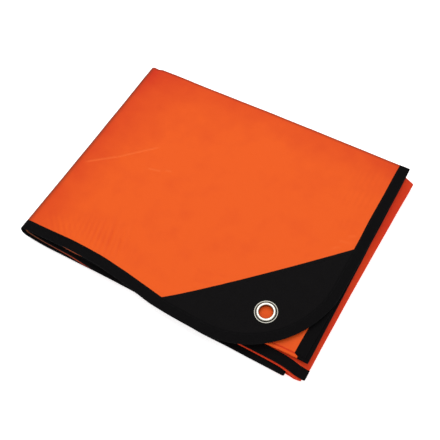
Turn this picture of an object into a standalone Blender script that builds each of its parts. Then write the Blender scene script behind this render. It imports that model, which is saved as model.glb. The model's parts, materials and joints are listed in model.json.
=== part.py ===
"""Emergency foil blanket, folded flat into a packet.

The blanket is cut, bound and patched flat, in sheet coordinates: s runs from the free end of the
top panel along the long side of the packet, t runs from the near edge of the top layer across it,
and n is the height above the middle of the cloth. It is then folded. Across t the sheet goes back
and forth in four layers, and that strip goes back and forth along s in three panels.

Packet coordinates before the last shift: u along the long side from the left fold, v from the near
side to the far side, z up from the surface. All sizes are in millimetres until the mesh is written.
"""

import math

import bmesh
import bpy
from mathutils import Matrix, Vector

MM = 0.001  # metres in a millimetre

# Cloth and fold
CLOTH = 1.0  # thickness of one layer
LAYER_GAP = 0.25  # air between two layers of a panel
PANEL_GAP = 0.3  # air between two panels
PIECE_GAP = 0.3  # seam between two sewn pieces
PITCH = CLOTH + LAYER_GAP
LAYERS = 4
PANELS = 3
STRIP = LAYERS * CLOTH + (LAYERS - 1) * LAYER_GAP  # thickness of one panel
INNER_RADIUS = (CLOTH + PANEL_GAP) / 2  # middle of the innermost layer where a panel turns
TURN_REACH = (PITCH + CLOTH) / 2  # from the middle of a turn across the strip to its outer face
TOP = PANELS * STRIP + (PANELS - 1) * PANEL_GAP
LEFT_TURN_Z = 2 * STRIP + 1.5 * PANEL_GAP
RIGHT_TURN_Z = STRIP + 0.5 * PANEL_GAP
PRESS = 1.85  # how sharply the right turn is pressed: 1 is round, 2 is a straight wedge
PRESSED_REACH = 1.5  # how much farther a pressed turn reaches than a round one

# Flat sheet, as cut
LEFT_U = 3.0  # where a panel starts to turn on the left, before the hand's unevenness
RIGHT_U = 250.0  # and on the right
RUN_S = RIGHT_U - LEFT_U  # one panel between its turns
RUN_T = 190.0  # one layer between its turns
TURN_S = math.pi * (INNER_RADIUS + STRIP / 2 - CLOTH / 2)
TURN_T = math.pi * PITCH / 2
SHEET_S = PANELS * RUN_S + (PANELS - 1) * TURN_S
SHEET_T = LAYERS * RUN_T + (LAYERS - 1) * TURN_T
CORNER_RADIUS = 75.0

# Edge tape, corner patch and eyelet
TAPE_WIDTH = 8.3
PATCH_LEG_S = 124.0  # where the slanted edge of the patch would meet the near edge of the sheet
PATCH_LEG_T = 116.6  # where it would meet the free end
PATCH_BOW = 2.0  # how far the middle of the slanted edge bends towards the corner
SLANT_OVERRUN = 4.0  # how far the slanted line is drawn past the sheet's edges before it is trimmed
EYELET_S = 40.9
EYELET_T = 35.0
EYELET_BORE = 5.2
EYELET_FLANGE = 8.8
EYELET_WASHER = 8.5
BARREL_WALL = 0.7
BARREL = EYELET_BORE + BARREL_WALL
SEAT = CLOTH / 2 + PIECE_GAP  # from the middle of the patch to the metal above and below it
PATCH_HOLE = BARREL + PIECE_GAP
FLAP_SLOPE = 0.04  # the stiff patched corner rises this much for each millimetre past its slanted edge

# How many straight pieces stand for a curve, a turn of the cloth, or the run between two turns
ARC_STEPS = 8
ROUND_STEPS = 32
TURN_S_STEPS = 8
TURN_T_STEPS = 4
RUN_S_STEPS = (14, 9, 9)  # one for each panel
RUN_T_STEPS = (6, 2, 2, 3)  # one for each layer
MERGE = 0.02  # corners of the cut cloth closer than this are one

# Where each line of the section lies (v), as the hand folded it. A row is a place along the sheet:
# the panel, then u there. near_edge and low_edge are the two bound long edges, roll is the turn
# that shows between them on the near side, far_top and far_low are the two turns on the far side.
LINES = ("near_edge", "far_top", "roll", "far_low", "low_edge")
FOLD_LINES = (
    # panel  u      near_edge  far_top  roll  far_low  low_edge
    (1, 250.0, -3.5, 193.3, 14.4, 193.0, 14.0),
    (1, 190.0, -3.5, 193.8, 11.0, 193.4, 11.0),
    (1, 150.0, -3.5, 193.9, 9.0, 193.8, 8.5),
    (1, 115.0, -0.3, 193.9, 6.5, 194.2, 7.0),
    (1, 96.0, 1.6, 193.8, 5.2, 194.5, 5.0),
    (1, 70.0, 3.3, 193.6, 4.4, 194.8, 3.6),
    (1, 48.0, 3.3, 193.4, 3.2, 195.0, 3.3),
    (1, 34.0, 2.6, 193.4, 3.4, 195.2, 3.2),
    (1, 3.0, 0.6, 193.4, 3.0, 195.5, 3.0),
    (2, 3.0, -1.2, 191.6, 1.0, 195.0, 1.3),
    (2, 24.0, -1.6, 191.4, 0.5, 194.6, 0.6),
    (2, 50.0, -0.6, 191.2, 0.5, 194.2, 0.9),
    (2, 62.0, -0.2, 191.2, -0.2, 194.0, 0.2),
    (2, 74.0, 0.3, 191.1, -0.2, 193.8, -0.4),
    (2, 90.0, 0.8, 191.0, 2.0, 193.5, 0.0),
    (2, 115.0, 1.3, 191.0, 3.4, 193.2, 2.6),
    (2, 207.0, -0.3, 191.0, 5.2, 192.2, 6.3),
    (2, 222.0, 0.0, 190.3, 5.6, 191.4, 6.5),
    (2, 234.0, 0.4, 188.9, 5.3, 189.9, 6.2),
    (2, 242.0, 0.7, 187.9, 4.4, 188.5, 5.2),
    (2, 250.0, 0.8, 187.2, 2.9, 187.8, 3.9),
    (3, 250.0, 0.6, 187.2, 3.0, 187.8, 6.0),
    (3, 206.0, -0.8, 191.0, 6.0, 191.8, 8.0),
    (3, 178.0, -1.7, 191.0, 5.8, 191.9, 8.0),
    (3, 150.0, -1.2, 191.2, 5.5, 192.0, 8.0),
    (3, 115.0, 2.4, 191.5, 6.0, 192.0, 8.0),
    (3, 5.0, 3.5, 191.5, 6.0, 192.0, 8.0),
)

# Where each layer ends or turns along u. A row is a place across the sheet, in layers from the
# near edge of the top layer, so that 2 is the roll between the second and the third layer. A bound
# end steps out a little where the roll starts.
REACH = ("free_end", "left_turn", "right_turn", "tail_end")
LAYER_REACH = (
    # layers  free_end  left_turn  right_turn  tail_end
    (0.00, 250.6, 2.1, 239.3, 6.0),
    (0.15, 250.8, 2.4, 239.6, 6.0),
    (0.35, 250.9, 2.6, 241.2, 5.8),
    (0.60, 250.8, 2.6, 245.0, 5.5),
    (0.70, 250.4, 2.6, 247.0, 5.4),
    (0.85, 250.6, 2.5, 249.2, 5.2),
    (0.95, 250.6, 2.3, 250.1, 5.0),
    (1.00, 250.8, 2.3, 250.2, 5.0),
    (1.15, 251.1, 2.5, 249.6, 5.3),
    (1.40, 251.3, 2.7, 248.6, 6.2),
    (1.60, 250.8, 2.8, 248.0, 7.0),
    (1.98, 249.2, 2.9, 247.7, 8.0),
    (1.99, 252.4, 2.9, 247.7, 8.0),
    (2.43, 251.6, 4.3, 248.1, 6.9),
    (2.65, 250.9, 6.0, 248.9, 5.5),
    (2.83, 250.2, 7.3, 249.7, 4.5),
    (2.92, 249.9, 7.8, 250.2, 4.1),
    (3.00, 249.8, 8.0, 250.4, 4.0),
    (3.08, 249.8, 7.9, 250.2, 4.1),
    (3.17, 249.9, 7.8, 249.7, 4.3),
    (3.35, 250.3, 7.2, 248.9, 5.3),
    (3.57, 250.9, 6.2, 248.1, 7.0),
    (4.00, 251.6, 5.0, 247.7, 9.0),
)

# Soft rises of the stack: the middle (u, v), the half widths, the height, and how strongly the
# rise is kept to the upper layers.
RISES = (
    # u      v      wide_u  wide_v  height  upper
    (68.0, 2.0, 30.0, 16.0, 1.9, 8.0),
    (2.0, 96.0, 26.0, 120.0, 0.5, 2.0),
    (125.0, 194.0, 120.0, 22.0, 0.5, 2.0),
)


def eased(x):
    """0 to 1 with a soft start and end."""
    x = min(max(x, 0.0), 1.0)
    return x * x * (3 - 2 * x)


def table_value(rows, x, column):
    """A column of rows sorted by their first value, read at x with soft steps between rows."""
    for low, high in zip(rows, rows[1:]):
        if x <= high[0]:
            share = eased((x - low[0]) / (high[0] - low[0]))
            return low[column] + (high[column] - low[column]) * share
    return rows[-1][column]


def sheet_s(panel, u):
    """How far along the sheet a panel passes u, with its turns at their nominal places."""
    start = (panel - 1) * (RUN_S + TURN_S)
    share = (RIGHT_U - u) / RUN_S
    return start + RUN_S * (share if panel != 2 else 1 - share)


LINE_ROWS = [(sheet_s(row[0], row[1]), *row[2:]) for row in FOLD_LINES]


def section_point(s, t, n):
    """(v, w) of a sheet point in the section of its strip: w is 0 in the lowest layer's middle."""
    lines = {name: table_value(LINE_ROWS, s, i + 1) for i, name in enumerate(LINES)}
    far = [lines["far_top"] - TURN_REACH, lines["far_low"] - TURN_REACH]
    near = lines["roll"] + TURN_REACH
    ends = (lines["near_edge"], far[0], near, far[1], lines["low_edge"])
    layer = min(int(t // (RUN_T + TURN_T)), LAYERS - 1)
    along = t - layer * (RUN_T + TURN_T)
    side = 1 if layer % 2 == 0 else -1  # which way n and the travel point in this layer
    height = (LAYERS - 1 - layer) * PITCH
    if along <= RUN_T or layer == LAYERS - 1:
        v = ends[layer] + (ends[layer + 1] - ends[layer]) * along / RUN_T
        return v, height + side * n
    angle = math.pi * (along - RUN_T) / TURN_T
    radius = PITCH / 2 + side * n
    v = ends[layer + 1] + side * radius * math.sin(angle)
    return v, height - PITCH / 2 + radius * math.cos(angle)


def panel_point(s, t, w):
    """(u, z) of a point that lies w above the lowest layer's middle in its strip."""
    layers = t / (RUN_T + TURN_T)
    reach = {
        name: table_value(LAYER_REACH, layers, i + 1) for i, name in enumerate(REACH)
    }
    left = INNER_RADIUS + w
    right = INNER_RADIUS + (LAYERS - 1) * PITCH - w
    panel = min(int(s // (RUN_S + TURN_S)), PANELS - 1)
    along = s - panel * (RUN_S + TURN_S)
    ends = (
        (reach["free_end"], reach["left_turn"]),
        (reach["left_turn"], reach["right_turn"]),
        (reach["right_turn"], reach["tail_end"]),
    )[panel]
    if along <= RUN_S or panel == PANELS - 1:
        u = ends[0] + (ends[1] - ends[0]) * along / RUN_S
        return u, (LEFT_TURN_Z + left, LEFT_TURN_Z - left, RIGHT_TURN_Z - right)[panel]
    angle = math.pi * (along - RUN_S) / TURN_S
    if panel == 0:
        return ends[1] - left * math.sin(angle), LEFT_TURN_Z + left * math.cos(angle)
    out = math.sin(angle) ** PRESS
    up = math.copysign(abs(math.cos(angle)) ** PRESS, math.cos(angle))
    return ends[1] + PRESSED_REACH * right * out, RIGHT_TURN_Z + right * up


def rise(u, v, z):
    """How much the uneven stack stands higher here."""
    total = 0.0
    for mid_u, mid_v, wide_u, wide_v, height, upper in RISES:
        off = ((u - mid_u) / wide_u) ** 2 + ((v - mid_v) / wide_v) ** 2
        total += height * math.exp(-off) * (z / TOP) ** upper
    return total


def flap_distance(s, t):
    """How far a sheet point lies past the slanted edge of the corner patch."""
    past = 1 - s / PATCH_LEG_S - t / PATCH_LEG_T
    return past / math.hypot(1 / PATCH_LEG_S, 1 / PATCH_LEG_T)


def folded(s, t, n):
    """The place of a flat sheet point in the folded packet."""
    v, w = section_point(s, t, n)
    u, z = panel_point(s, t, w)
    z += rise(u, v, z)
    z += FLAP_SLOPE * max(flap_distance(s, t), 0.0)
    return Vector((u, v, z))


def even_steps(start, end, count):
    return [start + (end - start) * i / count for i in range(count + 1)]


def station_list(run, turn, run_steps, turn_steps):
    """Places along the sheet where it is cut, so that it can bend there."""
    stations = []
    for i, steps in enumerate(run_steps):
        start = i * (run + turn)
        stations += even_steps(start, start + run, steps)
        stations += even_steps(start + run, start + run + turn, turn_steps)[1:-1]
    return [place for place in stations if place <= i * (run + turn) + run]


S_STATIONS = station_list(RUN_S, TURN_S, RUN_S_STEPS, TURN_S_STEPS)
T_STATIONS = station_list(RUN_T, TURN_T, RUN_T_STEPS, TURN_T_STEPS)


def rounded_outline(inset):
    """The sheet's outline with its four round corners, moved in by inset."""
    radius = CORNER_RADIUS - inset
    points = []
    for turn, (mid_s, mid_t) in enumerate((
        (CORNER_RADIUS, CORNER_RADIUS),
        (SHEET_S - CORNER_RADIUS, CORNER_RADIUS),
        (SHEET_S - CORNER_RADIUS, SHEET_T - CORNER_RADIUS),
        (CORNER_RADIUS, SHEET_T - CORNER_RADIUS),
    )):
        for step in range(ARC_STEPS + 1):
            angle = math.pi + (turn + step / ARC_STEPS) * math.pi / 2
            points.append((
                mid_s + radius * math.cos(angle),
                mid_t + radius * math.sin(angle),
            ))
    return points


def slanted_edge(past):
    """Points along the patch's bowed edge, moved past it towards the corner."""
    length = math.hypot(PATCH_LEG_S, PATCH_LEG_T)
    to_corner = Vector((-PATCH_LEG_T, -PATCH_LEG_S)) / length
    start = Vector((-SLANT_OVERRUN, PATCH_LEG_T + SLANT_OVERRUN))
    end = Vector((PATCH_LEG_S + SLANT_OVERRUN, -SLANT_OVERRUN))
    points = []
    for share in even_steps(0.0, 1.0, ARC_STEPS):
        bow = PATCH_BOW * math.sin(math.pi * share)
        points.append(start.lerp(end, share) + to_corner * (bow + past))
    return points


def flat_face(bm, points):
    return bm.faces.new([bm.verts.new((s, t, 0.0)) for s, t in points])


def cut_stations(bm):
    """Cuts the flat piece wherever the folded sheet bends."""
    cuts = [((s, 0, 0), (1, 0, 0)) for s in S_STATIONS[1:-1]]
    cuts += [((0, t, 0), (0, 1, 0)) for t in T_STATIONS[1:-1]]
    for place, normal in cuts:
        geometry = bm.verts[:] + bm.edges[:] + bm.faces[:]
        bmesh.ops.bisect_plane(bm, geom=geometry, dist=MERGE / 10, plane_co=place, plane_no=normal)
    bmesh.ops.remove_doubles(bm, verts=bm.verts[:], dist=MERGE)


def thicken(bm, thickness):
    """Turns the flat faces into a closed plate, half above and half below the cloth's middle."""
    bmesh.ops.translate(bm, verts=bm.verts[:], vec=(0, 0, -thickness / 2))
    raised = bmesh.ops.extrude_face_region(bm, geom=bm.faces[:])["geom"]
    verts = [item for item in raised if isinstance(item, bmesh.types.BMVert)]
    bmesh.ops.translate(bm, verts=verts, vec=(0, 0, thickness))
    bmesh.ops.recalc_face_normals(bm, faces=bm.faces[:])


def fold(bm):
    """Folds a flat piece. s runs against u, which mirrors the piece, so its faces are turned back."""
    for vert in bm.verts:
        vert.co = folded(*vert.co)
    bmesh.ops.reverse_faces(bm, faces=bm.faces[:])


def cloth():
    """The sheet inside its tape, less the corner that the patch stands for."""
    bm = bmesh.new()
    corner = slanted_edge(-PIECE_GAP)
    inside = rounded_outline(TAPE_WIDTH + PIECE_GAP)
    kept = [point for point in inside if flap_distance(*point) < -PIECE_GAP]
    inner = TAPE_WIDTH + PIECE_GAP
    slant = [point for point in corner if min(point) > inner]
    slant = [crossing(corner, 0, inner), *slant, crossing(corner, 1, inner)]
    flat_face(bm, [*slant, *kept])
    cut_stations(bm)
    thicken(bm, CLOTH)
    fold(bm)
    return bm


def crossing(points, axis, value):
    """Where a line of points passes a value of s (axis 0) or t (axis 1)."""
    for low, high in zip(points, points[1:]):
        if (low[axis] - value) * (high[axis] - value) <= 0:
            return low.lerp(high, (value - low[axis]) / (high[axis] - low[axis]))
    raise ValueError("the slanted edge doesn't reach the tape")


def tape():
    """The binding round all four edges and corners of the sheet."""
    bm = bmesh.new()
    loops = [
        [bm.verts.new((s, t, 0.0)) for s, t in rounded_outline(inset)]
        for inset in (0.0, TAPE_WIDTH)
    ]
    count = len(loops[0])
    for i in range(count):
        j = (i + 1) % count
        bm.faces.new((loops[0][i], loops[0][j], loops[1][j], loops[1][i]))
    cut_stations(bm)
    thicken(bm, CLOTH)
    fold(bm)
    return bm


def patch():
    """The corner reinforcement inside the tape, with the hole for the eyelet's barrel."""
    bm = bmesh.new()
    inner = TAPE_WIDTH + PIECE_GAP
    edge = slanted_edge(0.0)
    slant = [point for point in edge if min(point) > inner]
    slant = [crossing(edge, 0, inner), *slant, crossing(edge, 1, inner)]
    outline = [*reversed(slant), *rounded_outline(inner)[: ARC_STEPS + 1]]
    hole = [
        (
            EYELET_S + PATCH_HOLE * math.cos(2 * math.pi * i / ROUND_STEPS),
            EYELET_T + PATCH_HOLE * math.sin(2 * math.pi * i / ROUND_STEPS),
        )
        for i in range(ROUND_STEPS)
    ]
    for loop in (outline, hole):
        verts = [bm.verts.new((point[0], point[1], 0.0)) for point in loop]
        for i, vert in enumerate(verts):
            bm.edges.new((vert, verts[(i + 1) % len(verts)]))
    bmesh.ops.triangle_fill(bm, use_beauty=True, use_dissolve=False, edges=bm.edges[:])
    thicken(bm, CLOTH)
    fold(bm)
    return bm


# Half profile of the eyelet: radius, and height from the middle of the patch. The rolled end of the
# barrel stands a little above the flange's rim, with a shallow groove between them.
EYELET_PROFILE = (
    (EYELET_BORE, -1.15),
    (EYELET_BORE, 1.3),
    (EYELET_BORE + 0.5, 1.8),
    (EYELET_BORE + 1.4, 1.8),
    (EYELET_BORE + 2.1, 1.3),
    (EYELET_BORE + 2.6, 1.15),
    (EYELET_FLANGE - 0.3, 1.25),
    (EYELET_FLANGE, SEAT),
    (BARREL, SEAT),
    (BARREL, -SEAT),
    (EYELET_WASHER, -SEAT),
    (EYELET_WASHER, -1.15),
    (EYELET_WASHER - 0.5, -1.3),
    (EYELET_BORE + 0.4, -1.3),
)


def eyelet():
    """The two-part metal eyelet, pressed together through the patch."""
    bm = bmesh.new()
    verts = [bm.verts.new((radius, 0.0, height)) for radius, height in EYELET_PROFILE]
    edges = [
        bm.edges.new((vert, verts[(i + 1) % len(verts)])) for i, vert in enumerate(verts)
    ]
    bmesh.ops.spin(
        bm,
        geom=verts + edges,
        cent=(0, 0, 0),
        axis=(0, 0, 1),
        angle=2 * math.pi,
        steps=ROUND_STEPS,
        use_merge=True,
    )
    bmesh.ops.remove_doubles(bm, verts=bm.verts[:], dist=MERGE)
    bmesh.ops.recalc_face_normals(bm, faces=bm.faces[:])
    middle = folded(EYELET_S, EYELET_T, 0.0)
    ahead = folded(EYELET_S - 1.0, EYELET_T, 0.0) - middle
    across = folded(EYELET_S, EYELET_T + 1.0, 0.0) - middle
    up = ahead.cross(across).normalized()
    turn = Vector((0, 0, 1)).rotation_difference(up).to_matrix().to_4x4()
    bmesh.ops.transform(bm, matrix=Matrix.Translation(middle) @ turn, verts=bm.verts[:])
    return bm


def material(name, color, roughness, metallic=0.0):
    made = bpy.data.materials.new(name)
    made.use_nodes = True
    shader = made.node_tree.nodes["Principled BSDF"]
    shader.inputs["Base Color"].default_value = (*color, 1.0)
    shader.inputs["Roughness"].default_value = roughness
    shader.inputs["Metallic"].default_value = metallic
    return made


def add_object(name, bm, finish):
    bmesh.ops.scale(bm, vec=(MM, MM, MM), verts=bm.verts[:])
    mesh = bpy.data.meshes.new(name)
    bm.to_mesh(mesh)
    bm.free()
    mesh.shade_smooth()
    mesh.set_sharp_from_angle(angle=math.radians(35))
    mesh.materials.append(finish)
    made = bpy.data.objects.new(name, mesh)
    bpy.context.scene.collection.objects.link(made)
    return made


def centre(objects):
    """Moves every mesh so that the middle of the packet's footprint is at the origin."""
    points = [vert.co for made in objects for vert in made.data.vertices]
    low = [min(point[axis] for point in points) for axis in range(3)]
    high = [max(point[axis] for point in points) for axis in range(3)]
    shift = Vector((-(low[0] + high[0]) / 2, -(low[1] + high[1]) / 2, -low[2]))
    for made in objects:
        made.data.transform(Matrix.Translation(shift))


def main():
    for old in list(bpy.data.objects):
        bpy.data.objects.remove(old, do_unlink=True)
    orange = material("orange_coated_cloth", (0.78, 0.11, 0.015), 0.5)
    black_tape = material("black_tape", (0.006, 0.006, 0.007), 0.7)
    black_weave = material("black_weave", (0.012, 0.011, 0.012), 0.8)
    nickel = material("nickel", (0.75, 0.72, 0.66), 0.25, 1.0)
    centre([
        add_object("blanket_cloth", cloth(), orange),
        add_object("edge_tape", tape(), black_tape),
        add_object("corner_patch", patch(), black_weave),
        add_object("corner_eyelet", eyelet(), nickel),
    ])


main()
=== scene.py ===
"""Looks of a folded emergency foil blanket: orange coated cloth, bound in black tape.

Every soft piece is cut flat in sheet coordinates and then folded by one rule, the same one that the
solids follow: s runs from the free end of the top panel along the packet, t from the near edge of
the top layer across it, and n is the height above the middle of the cloth. Packet coordinates are u
along the packet from the left fold, v from its near side to its far side, and z up. Both are in
millimetres; meshes are written in metres in the row frame.
"""

from __future__ import annotations

import json
import logging
import math
from collections.abc import Callable, Sequence
from dataclasses import dataclass, field
from enum import Enum

import bmesh
import bpy
import numpy as np
from mathutils import Matrix, Vector

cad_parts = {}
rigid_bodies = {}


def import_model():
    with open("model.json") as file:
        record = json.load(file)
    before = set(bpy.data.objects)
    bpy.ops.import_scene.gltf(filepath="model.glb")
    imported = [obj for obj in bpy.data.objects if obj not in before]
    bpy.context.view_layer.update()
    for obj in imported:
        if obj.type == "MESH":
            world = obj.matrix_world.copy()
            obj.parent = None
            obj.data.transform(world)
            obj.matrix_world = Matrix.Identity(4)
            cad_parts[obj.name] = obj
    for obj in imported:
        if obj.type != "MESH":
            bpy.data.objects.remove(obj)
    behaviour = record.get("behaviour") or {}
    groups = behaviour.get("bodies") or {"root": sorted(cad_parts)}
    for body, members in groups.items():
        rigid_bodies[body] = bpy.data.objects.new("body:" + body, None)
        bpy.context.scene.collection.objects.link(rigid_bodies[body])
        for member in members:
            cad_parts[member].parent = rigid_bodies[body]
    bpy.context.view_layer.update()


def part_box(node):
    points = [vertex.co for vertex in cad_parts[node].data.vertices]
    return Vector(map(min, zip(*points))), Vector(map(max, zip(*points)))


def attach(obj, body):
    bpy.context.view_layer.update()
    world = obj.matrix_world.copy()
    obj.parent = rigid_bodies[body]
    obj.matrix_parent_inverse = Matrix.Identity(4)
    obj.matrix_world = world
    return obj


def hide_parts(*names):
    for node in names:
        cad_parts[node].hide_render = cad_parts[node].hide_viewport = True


for startup_object in list(bpy.data.objects):
    bpy.data.objects.remove(startup_object, do_unlink=True)
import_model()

LOG = logging.getLogger("blanket")
BODY = "root"
MM = 0.001  # metres in a millimetre

Array = np.ndarray
Color = tuple[float, float, float]
Pair = tuple[float, float]
WHITE = (1.0, 1.0, 1.0, 1.0)

# Fold of the packet
CLOTH = 1.0  # thickness of the cloth in the solids
LAYER_GAP = 0.25
PANEL_GAP = 0.3
PITCH = CLOTH + LAYER_GAP
LAYERS = 4
PANELS = 3
STRIP = LAYERS * CLOTH + (LAYERS - 1) * LAYER_GAP
INNER_RADIUS = (CLOTH + PANEL_GAP) / 2
TURN_REACH = (PITCH + CLOTH) / 2
TOP = PANELS * STRIP + (PANELS - 1) * PANEL_GAP
LEFT_TURN_Z = 2 * STRIP + 1.5 * PANEL_GAP
RIGHT_TURN_Z = STRIP + 0.5 * PANEL_GAP
LEFT_U = 3.0
RIGHT_U = 250.0
RUN_S = RIGHT_U - LEFT_U
RUN_T = 190.0
TURN_S = math.pi * (INNER_RADIUS + STRIP / 2 - CLOTH / 2)
TURN_T = math.pi * PITCH / 2
SHEET_S = PANELS * RUN_S + (PANELS - 1) * TURN_S
SHEET_T = LAYERS * RUN_T + (LAYERS - 1) * TURN_T
SHEET_MIDDLE = np.array((SHEET_S, SHEET_T)) / 2
CORNER_RADIUS = 75.0
LONG_TURN_STEPS = 12  # straight pieces in a turn of the whole strip
SHORT_TURN_STEPS = 8  # the same in a turn of one layer

# Places on the flat sheet
TAPE_WIDTH = 8.3
PATCH_LEG_S = 124.0
PATCH_LEG_T = 116.6
PATCH_BOW = 2.0
SLANT_OVERRUN = 4.0
SLANT_START = np.array((-SLANT_OVERRUN, PATCH_LEG_T + SLANT_OVERRUN))
SLANT_END = np.array((PATCH_LEG_S + SLANT_OVERRUN, -SLANT_OVERRUN))
SLANT_RUN = SLANT_END - SLANT_START
SLANT_LENGTH = math.hypot(*SLANT_RUN)
EYELET = np.array((40.9, 35.0))
HOLE = 6.4  # radius of the hole that is cut for the eyelet
FLAP_SLOPE = 0.04
FLAP_SOFTNESS = 1.2  # how gradually the cloth starts to rise at the patch's slanted edge
PRESS = 1.85  # how sharply the right turn is pressed: 1 is round, 2 is a straight wedge
PRESSED_REACH = 1.5  # how much farther a pressed turn reaches than a round one
LAYER = RUN_T + TURN_T  # one layer with its turn
ROLL_T = 2 * RUN_T + TURN_T  # where the second layer starts to turn into the third
VALLEY_T = ROLL_T - 1.5  # where the second layer dips before its puffed roll
BEFORE_ROLL = (0.3, 0.6, 0.9, 1.2, 1.5, 1.8, 2.1, 2.4, 2.8, 3.5, 5.0)  # where cloth is cut finely

# Where each line of the section lies (v) at a place along the sheet: the panel, then u there.
FOLD_LINES = (
    # panel  u      near_edge  far_top  roll  far_low  low_edge
    (1, 250.0, -3.5, 193.3, 14.4, 193.0, 14.0),
    (1, 190.0, -3.5, 193.8, 11.0, 193.4, 11.0),
    (1, 150.0, -3.5, 193.9, 9.0, 193.8, 8.5),
    (1, 115.0, -0.3, 194.0, 6.5, 194.2, 7.0),
    (1, 96.0, 1.6, 194.0, 5.2, 194.5, 5.0),
    (1, 70.0, 3.3, 194.0, 4.4, 194.6, 3.6),
    (1, 48.0, 3.3, 194.1, 3.2, 194.6, 3.3),
    (1, 34.0, 2.6, 194.2, 3.4, 194.6, 3.2),
    (1, 10.5, 1.0, 194.0, 3.0, 194.0, 3.0),
    (1, 7.8, 0.9, 192.8, 3.0, 194.0, 3.0),
    (1, 3.0, 0.6, 193.3, 3.0, 195.5, 3.0),
    (2, 3.0, -1.2, 191.6, 1.0, 195.0, 1.3),
    (2, 24.0, -1.6, 191.4, 0.5, 194.6, 0.6),
    (2, 50.0, -0.6, 191.2, 0.5, 194.2, 0.9),
    (2, 62.0, -0.2, 191.2, -0.2, 194.0, 0.2),
    (2, 74.0, 0.3, 191.1, -0.2, 193.8, -0.4),
    (2, 90.0, 0.8, 191.0, 2.0, 193.5, 0.0),
    (2, 115.0, 1.2, 191.0, 3.4, 193.2, 2.6),
    (2, 207.0, -0.3, 191.0, 4.2, 192.2, 4.8),
    (2, 222.0, 0.0, 190.3, 4.4, 191.4, 5.2),
    (2, 234.0, 0.4, 188.9, 4.6, 189.9, 5.5),
    (2, 242.0, 0.7, 187.9, 4.4, 188.5, 5.2),
    (2, 250.0, 0.8, 187.2, 2.9, 187.8, 3.9),
    (3, 250.0, 0.6, 187.2, 3.0, 187.8, 6.0),
    (3, 206.0, -0.2, 191.0, 6.0, 191.8, 8.0),
    (3, 178.0, -1.1, 191.0, 5.8, 191.9, 8.0),
    (3, 160.0, -0.8, 191.1, 5.6, 192.0, 8.0),
    (3, 150.0, -1.1, 191.2, 5.5, 192.0, 8.0),
    (3, 133.0, -0.6, 191.4, 5.8, 192.0, 8.0),
    (3, 116.0, 1.3, 191.5, 6.0, 192.0, 8.0),
    (3, 102.0, 2.6, 191.5, 6.0, 192.0, 8.0),
    (3, 5.0, 3.5, 191.5, 6.0, 192.0, 8.0),
)

# Where each layer ends or turns along u, at a place across the sheet that is counted in layers.
LAYER_REACH = (
    # layers  free_end  left_turn  right_turn  tail_end
    (0.00, 250.6, 2.1, 239.3, 6.0),
    (0.15, 250.8, 2.4, 239.6, 6.0),
    (0.35, 250.9, 2.6, 241.2, 5.8),
    (0.60, 250.8, 2.6, 245.0, 5.5),
    (0.70, 250.4, 2.6, 247.0, 5.4),
    (0.85, 250.6, 2.5, 249.2, 5.2),
    (0.95, 250.6, 2.3, 250.1, 5.0),
    (1.00, 250.8, 2.3, 250.2, 5.0),
    (1.15, 251.1, 2.5, 249.6, 5.3),
    (1.40, 251.3, 2.7, 248.6, 6.2),
    (1.60, 250.8, 2.8, 248.0, 7.0),
    (1.98, 249.2, 2.9, 247.7, 8.0),
    (1.99, 252.4, 2.9, 247.7, 8.0),
    (2.43, 251.6, 4.3, 248.1, 6.9),
    (2.65, 250.9, 6.0, 248.9, 5.5),
    (2.83, 250.2, 7.3, 249.7, 4.5),
    (2.92, 249.9, 7.8, 250.2, 4.1),
    (3.00, 249.8, 8.0, 250.4, 4.0),
    (3.08, 249.8, 7.9, 250.2, 4.1),
    (3.17, 249.9, 7.8, 249.7, 4.3),
    (3.35, 250.3, 7.2, 248.9, 5.3),
    (3.57, 250.9, 6.2, 248.1, 7.0),
    (4.00, 251.6, 5.0, 247.7, 9.0),
)

# Soft rises of the whole stack, and how strongly each is kept to the upper layers.
RISES = (
    # u      v      wide_u  wide_v  height  upper
    (68.0, 2.0, 30.0, 16.0, 1.9, 8.0),
    (2.0, 96.0, 26.0, 120.0, 0.5, 2.0),
    (125.0, 194.0, 120.0, 22.0, 0.5, 2.0),
)

# Shallow swells of one layer, in the sheet.
SWELLS = (
    # s      t      wide_s  wide_t  height
    (205.0, 150.0, 24.0, 12.0, 0.30),
    (226.0, 62.0, 10.0, 26.0, -0.22),
    (178.0, 66.0, 20.0, 15.0, 0.26),
    (138.0, 60.0, 7.0, 20.0, -0.20),
    (118.0, 128.0, 26.0, 9.0, 0.22),
    (90.0, 152.0, 30.0, 12.0, -0.18),
    (60.0, 70.0, 26.0, 12.0, 0.20),
    (32.0, 112.0, 10.0, 14.0, 0.25),
    (150.0, 26.0, 24.0, 9.0, 0.20),
    (30.0, 165.0, 16.0, 20.0, -0.15),
    (150.0, 178.0, 50.0, 7.0, 0.18),
    (12.0, VALLEY_T, 34.0, 0.5, 0.42),
)

# Fine ripples of one layer: the middle of the patch of ripples, its half widths, the direction
# along which the ripples follow one another, from the s axis, their length and their height.
RIPPLES = (
    # s      t     wide_s  wide_t  direction  length  height
    (218.0, 12.0, 16.0, 12.0, -45.0, 4.4, 0.20),
    (186.0, 20.0, 24.0, 12.0, -16.0, 4.6, 0.22),
    (172.0, 30.0, 20.0, 14.0, -20.0, 7.3, 0.12),
    (24.0, 152.0, 13.0, 34.0, 4.0, 4.4, 0.12),
    (82.0, 40.0, 34.0, 9.0, 75.0, 7.5, 0.12),
    (160.0, 62.0, 26.0, 22.0, 52.0, 11.0, 0.10),
)
RIPPLE_DRIFT = (0.9, 11.0, 17.0)  # how far ripples stray, and over what lengths they do
RIPPLE_HOLLOW_SHADE = 0.55  # painted shade: how much deeper the orange is in a ripple's hollow, for each millimetre
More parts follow.
